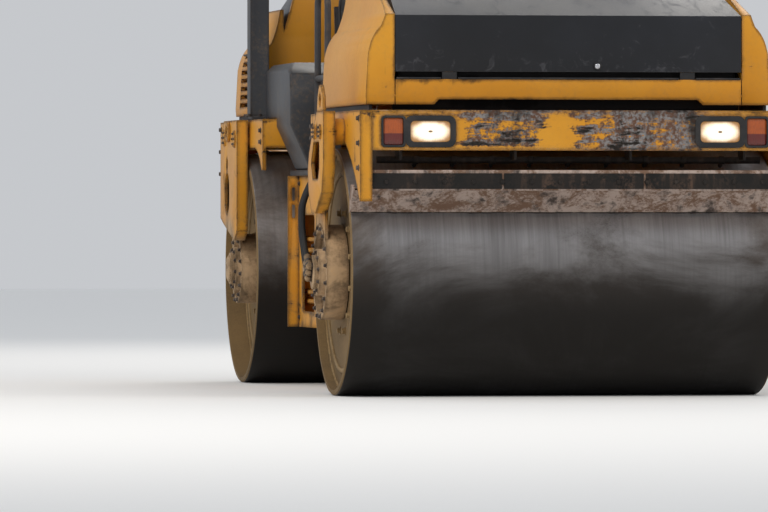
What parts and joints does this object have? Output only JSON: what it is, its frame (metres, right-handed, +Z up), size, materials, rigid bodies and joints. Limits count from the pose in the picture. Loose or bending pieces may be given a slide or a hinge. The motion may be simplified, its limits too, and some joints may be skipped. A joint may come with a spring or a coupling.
{
  "type": "tandem drum roller",
  "caption": "Articulated tandem drum roller for asphalt, with smooth steel drums in yoke arms, hinged hoods, scrapers, spray bars and an open operator station under a roof.",
  "frame": {"origin": "on the ground under the steering pin, midway between the drums", "axes": "+Z up, -Y towards the front end with the long hood, +X to the left of a driver facing -Y"},
  "size_m": [2.406, 4.868, 3.02],
  "materials": {
    "yellow_paint": "chipped satin yellow paint with rust at the edges",
    "black_paint": "worn satin black paint",
    "lid_black": "satin black moulding",
    "drum_steel": "polished rolled steel with bitumen film",
    "rusty_steel": "rusty steel",
    "chrome_rod": "chromed rod",
    "lamp_glass": "headlamp lens",
    "marker_lens": "amber and red lens",
    "rubber": "black rubber",
    "hose_rubber": "black hydraulic hose",
    "tank_plastic": "moulded black tank",
    "cast_grey": "dark grey castings",
    "seat_vinyl": "black vinyl upholstery"
  },
  "bodies": {
    "rear_half": {"rear_frame": "yellow_paint", "rear_left_arm": "yellow_paint", "rear_right_arm": "yellow_paint", "rear_lift_eyes": "yellow_paint", "rear_bumper": "yellow_paint", "rear_lamp_frames": "rubber", "rear_headlamps": "lamp_glass", "rear_markers": "marker_lens", "rear_scraper": "rusty_steel", "rear_spray_bar": "black_paint", "rear_hood": "yellow_paint", "engine_block": "cast_grey", "operator_deck": "black_paint", "step_boxes": "yellow_paint", "side_cabinets": "black_paint", "seat_base": "black_paint", "seat": "seat_vinyl", "steering_column": "black_paint", "roll_posts": "black_paint", "roof": "black_paint", "handrails": "black_paint", "rear_hoses": "hose_rubber"},
    "front_half": {"front_frame": "yellow_paint", "front_left_arm": "yellow_paint", "front_right_arm": "yellow_paint", "front_lift_eyes": "yellow_paint", "front_bumper": "yellow_paint", "front_lamp_frames": "rubber", "front_headlamps": "lamp_glass", "front_markers": "marker_lens", "front_scraper": "rusty_steel", "front_spray_bar": "black_paint", "front_hood": "yellow_paint", "front_hoses": "hose_rubber", "water_tank": "tank_plastic"},
    "front_lid": {"front_lid": "lid_black"},
    "front_drum": {"front_drum": "drum_steel"},
    "pivot_link": {"pivot_link": "cast_grey"},
    "left_ram": {"left_ram": "black_paint"},
    "left_rod": {"left_rod": "chrome_rod"},
    "right_ram": {"right_ram": "black_paint"},
    "right_rod": {"right_rod": "chrome_rod"},
    "rear_lid": {"rear_lid": "lid_black"},
    "rear_drum": {"rear_drum": "drum_steel"},
    "steering_wheel": {"steering_wheel": "rubber"}
  },
  "joints": [
    {"name": "front_drum_spin", "type": "hinge", "parent": "front_half", "child": "front_drum", "pos_m": [0, -1.6, 0.61], "axis": [1, 0, 0], "continuous": true},
    {"name": "rear_drum_spin", "type": "hinge", "parent": "rear_half", "child": "rear_drum", "pos_m": [0, 1.6, 0.61], "axis": [1, 0, 0], "continuous": true},
    {"name": "oscillate", "type": "hinge", "parent": "rear_half", "child": "pivot_link", "pos_m": [0, 0, 0.74], "axis": [0, 1, 0], "range_deg": [-8, 8]},
    {"name": "articulate", "type": "hinge", "parent": "pivot_link", "child": "front_half", "pos_m": [0, 0, 0.74], "axis": [0, 0, 1], "range_deg": [-35, 35]},
    {"name": "front_lid_hinge", "type": "hinge", "parent": "front_half", "child": "front_lid", "pos_m": [0, -0.8775, 2.114], "axis": [-1, 0, 0], "range_deg": [0, 60]},
    {"name": "rear_lid_hinge", "type": "hinge", "parent": "rear_half", "child": "rear_lid", "pos_m": [0, 1.4525, 2.114], "axis": [1, 0, 0], "range_deg": [0, 60]},
    {"name": "wheel_turn", "type": "hinge", "parent": "rear_half", "child": "steering_wheel", "pos_m": [-0.43, -0.06, 1.13], "axis": [0, 0.4226, 0.9063], "continuous": true},
    {"name": "right_ram_swing", "type": "hinge", "parent": "pivot_link", "child": "right_ram", "pos_m": [0.3, 0.08, 0.74], "axis": [0, 0, 1], "range_deg": [-34.45, 34.45]},
    {"name": "right_rod_slide", "type": "slide", "parent": "right_ram", "child": "right_rod", "axis": [0.1135, -0.9935, 0], "range_m": [-0.1796, 0.1796]},
    {"name": "left_ram_swing", "type": "hinge", "parent": "pivot_link", "child": "left_ram", "pos_m": [-0.3, 0.08, 0.74], "axis": [0, 0, 1], "range_deg": [-34.45, 34.45]},
    {"name": "left_rod_slide", "type": "slide", "parent": "left_ram", "child": "left_rod", "axis": [-0.1135, -0.9935, 0], "range_m": [-0.1796, 0.1796]}
  ],
  "couplings": [
    {"joint": "right_ram_swing", "follows": "articulate", "ratio": 0.97},
    {"joint": "right_rod_slide", "follows": "articulate", "m_per_rad": -0.2908},
    {"joint": "left_ram_swing", "follows": "articulate", "ratio": 0.97},
    {"joint": "left_rod_slide", "follows": "articulate", "m_per_rad": 0.2908}
  ]
}
